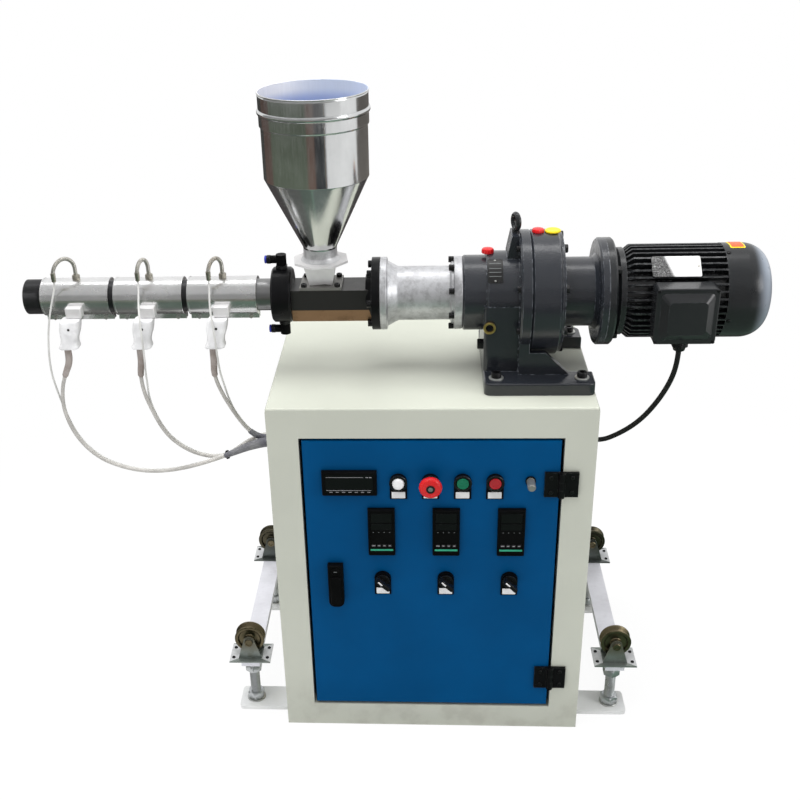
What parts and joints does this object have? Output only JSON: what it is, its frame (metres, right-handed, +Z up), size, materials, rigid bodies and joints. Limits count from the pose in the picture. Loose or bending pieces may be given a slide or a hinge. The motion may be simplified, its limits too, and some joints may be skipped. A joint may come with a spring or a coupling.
{
  "type": "desktop plastic extruder on floor cabinet",
  "caption": "Single-screw plastic extruder: heated barrel, stainless hopper and geared motor on a floor cabinet with a control door and jack-screw wheel carriages.",
  "frame": {"origin": "middle of the cabinet's underside, on the floor", "axes": "+X to the right along the barrel's axis towards the motor, +Y to the back, +Z up"},
  "size_m": [1.289, 0.49, 1.182],
  "materials": {
    "cream_paint": "semi-gloss",
    "blue_paint": "semi-gloss",
    "casting_paint": "satin",
    "black_metal": "satin",
    "black_plastic": "satin",
    "band_steel": "brushed",
    "barrel_steel": "oiled",
    "stainless": "polished",
    "aluminium": "machined",
    "zinc": "zinc plated",
    "bare_steel": "bare",
    "brass": "satin",
    "ceramic": "glazed",
    "red_plastic": "gloss",
    "green_plastic": "gloss",
    "white_plastic": "gloss",
    "silver_knob": "satin",
    "pale_cable": "matt",
    "black_rubber": "matt"
  },
  "bodies": {
    "machine": {"barrel": "barrel_steel", "barrel_end_nut": "black_metal", "cabinet_back": "cream_paint", "cabinet_floor": "cream_paint", "cabinet_left_side": "cream_paint", "cabinet_right_side": "cream_paint", "cabinet_top": "cream_paint", "cable_glands": "black_rubber", "cooling_collar": "black_metal", "feed_block": "black_metal", "floor_lugs": "cream_paint", "front_frame_rails": "cream_paint", "front_frame_stiles": "cream_paint", "heater_bands": "band_steel", "heater_cable_1": "pale_cable", "heater_cable_2": "pale_cable", "heater_cable_3": "pale_cable", "heater_plugs": "ceramic", "hinge_frame_leaves": "black_metal", "hopper_cone": "stainless", "hopper_cylinder": "stainless", "hopper_throat": "aluminium", "jack_screws": "zinc", "lantern": "aluminium", "lifting_eye": "black_metal", "motor_cable": "black_rubber", "motor_end_shield": "casting_paint", "motor_fan_cowl": "casting_paint", "motor_frame": "casting_paint", "oil_fittings": "red_plastic", "reducer_base": "casting_paint", "reducer_input_neck": "casting_paint", "reducer_ring": "casting_paint", "terminal_box": "casting_paint", "thermocouple_lead_1": "pale_cable", "thermocouple_lead_2": "pale_cable", "thermocouple_lead_3": "pale_cable", "thermocouples": "brass", "tie_bars": "bare_steel", "water_elbows": "black_plastic", "wheel_brackets": "zinc"},
    "door": {"door_panel": "blue_paint", "hinge_door_leaves": "black_metal", "door_lock": "black_plastic", "speed_meter": "black_plastic", "temperature_controllers": "black_plastic", "control_bases": "black_plastic", "indicator_lamp": "white_plastic"},
    "emergency_stop": {"emergency_stop": "red_plastic"},
    "start_button": {"start_button": "green_plastic"},
    "stop_button": {"stop_button": "red_plastic"},
    "selector_knob_1": {"selector_knob_1": "black_plastic"},
    "selector_knob_2": {"selector_knob_2": "black_plastic"},
    "selector_knob_3": {"selector_knob_3": "black_plastic"},
    "speed_knob": {"speed_knob": "silver_knob"},
    "track_wheel_front_left": {"track_wheel_front_left": "brass"},
    "track_wheel_front_right": {"track_wheel_front_right": "brass"},
    "track_wheel_rear_left": {"track_wheel_rear_left": "brass"},
    "track_wheel_rear_right": {"track_wheel_rear_right": "brass"}
  },
  "joints": [
    {"name": "door_hinge", "type": "hinge", "parent": "machine", "child": "door", "pos_m": [0.2235, -0.236, 0.34], "axis": [0, 0, 1], "range_deg": [0, 110]},
    {"name": "emergency_stop_push", "type": "slide", "parent": "door", "child": "emergency_stop", "axis": [0, 1, 0], "range_m": [0, 0.004], "stiffness_N_per_m": 800},
    {"name": "start_button_push", "type": "slide", "parent": "door", "child": "start_button", "axis": [0, 1, 0], "range_m": [0, 0.003], "stiffness_N_per_m": 800},
    {"name": "stop_button_push", "type": "slide", "parent": "door", "child": "stop_button", "axis": [0, 1, 0], "range_m": [0, 0.003], "stiffness_N_per_m": 800},
    {"name": "selector_1_turn", "type": "hinge", "parent": "door", "child": "selector_knob_1", "pos_m": [-0.087, -0.23, 0.349], "axis": [0, 1, 0], "range_deg": [0, 90]},
    {"name": "selector_2_turn", "type": "hinge", "parent": "door", "child": "selector_knob_2", "pos_m": [0.027, -0.23, 0.349], "axis": [0, 1, 0], "range_deg": [0, 90]},
    {"name": "selector_3_turn", "type": "hinge", "parent": "door", "child": "selector_knob_3", "pos_m": [0.141, -0.23, 0.349], "axis": [0, 1, 0], "range_deg": [0, 90]},
    {"name": "speed_turn", "type": "hinge", "parent": "door", "child": "speed_knob", "pos_m": [0.171, -0.23, 0.553], "axis": [0, 1, 0], "range_deg": [0, 270]},
    {"name": "wheel_front_left_spin", "type": "hinge", "parent": "machine", "child": "track_wheel_front_left", "pos_m": [-0.352, -0.174, 0.168], "axis": [0, 1, 0], "continuous": true},
    {"name": "wheel_rear_left_spin", "type": "hinge", "parent": "machine", "child": "track_wheel_rear_left", "pos_m": [-0.352, 0.174, 0.168], "axis": [0, 1, 0], "continuous": true},
    {"name": "wheel_front_right_spin", "type": "hinge", "parent": "machine", "child": "track_wheel_front_right", "pos_m": [0.352, -0.174, 0.168], "axis": [0, 1, 0], "continuous": true},
    {"name": "wheel_rear_right_spin", "type": "hinge", "parent": "machine", "child": "track_wheel_rear_right", "pos_m": [0.352, 0.174, 0.168], "axis": [0, 1, 0], "continuous": true}
  ]
}
